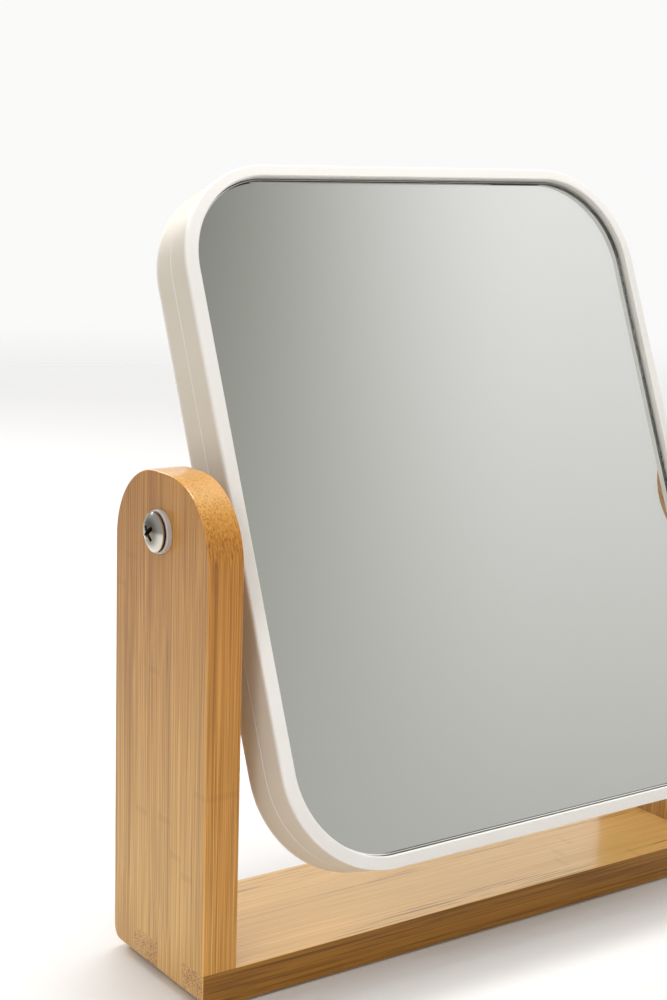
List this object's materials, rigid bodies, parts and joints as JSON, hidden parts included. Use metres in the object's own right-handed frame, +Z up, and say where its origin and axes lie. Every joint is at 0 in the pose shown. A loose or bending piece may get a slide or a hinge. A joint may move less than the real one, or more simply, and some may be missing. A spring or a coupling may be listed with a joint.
{
  "type": "countertop mirror",
  "caption": "Tilting countertop mirror: rounded-square glass on both faces of a white plastic head, pivoted between bamboo posts on a bamboo base bar.",
  "frame": {"origin": "on the table, under the middle of the stand", "axes": "+Z up, -Y towards the viewer of the front glass, +X to the viewer's right along the pivot"},
  "size_m": [0.1946, 0.085, 0.2072],
  "materials": {
    "bamboo": "satin lacquered bamboo, grain along each board",
    "white_plastic": "satin moulded white",
    "mirror_glass": "polished silvered glass",
    "foam_tape": "closed-cell foam",
    "zinc_screw": "zinc plated",
    "chrome_screw": "bright plated",
    "clear_nylon": "translucent nylon",
    "white_nylon": "natural nylon",
    "brass": "turned",
    "foot_rubber": "matt"
  },
  "bodies": {
    "stand": {"base_bar": "bamboo", "left_post": "bamboo", "right_post": "bamboo", "front_left_foot": "foot_rubber", "front_right_foot": "foot_rubber", "rear_left_foot": "foot_rubber", "rear_right_foot": "foot_rubber", "left_outer_bush": "clear_nylon", "left_friction_washer": "white_nylon", "right_outer_bush": "clear_nylon", "right_friction_washer": "white_nylon"},
    "mirror_head": {"front_bezel": "white_plastic", "rear_bezel": "white_plastic", "front_glass": "mirror_glass", "rear_glass": "mirror_glass", "front_tape": "foam_tape", "rear_foam": "foam_tape", "shell_screws": "zinc_screw", "left_pivot_screw": "chrome_screw", "left_spacer": "white_plastic", "left_threaded_insert": "brass", "right_pivot_screw": "chrome_screw", "right_spacer": "white_plastic", "right_threaded_insert": "brass"}
  },
  "joints": [
    {"name": "mirror_tilt", "type": "hinge", "parent": "stand", "child": "mirror_head", "pos_m": [0, 0, 0.1187], "axis": [1, 0, 0], "continuous": true}
  ]
}
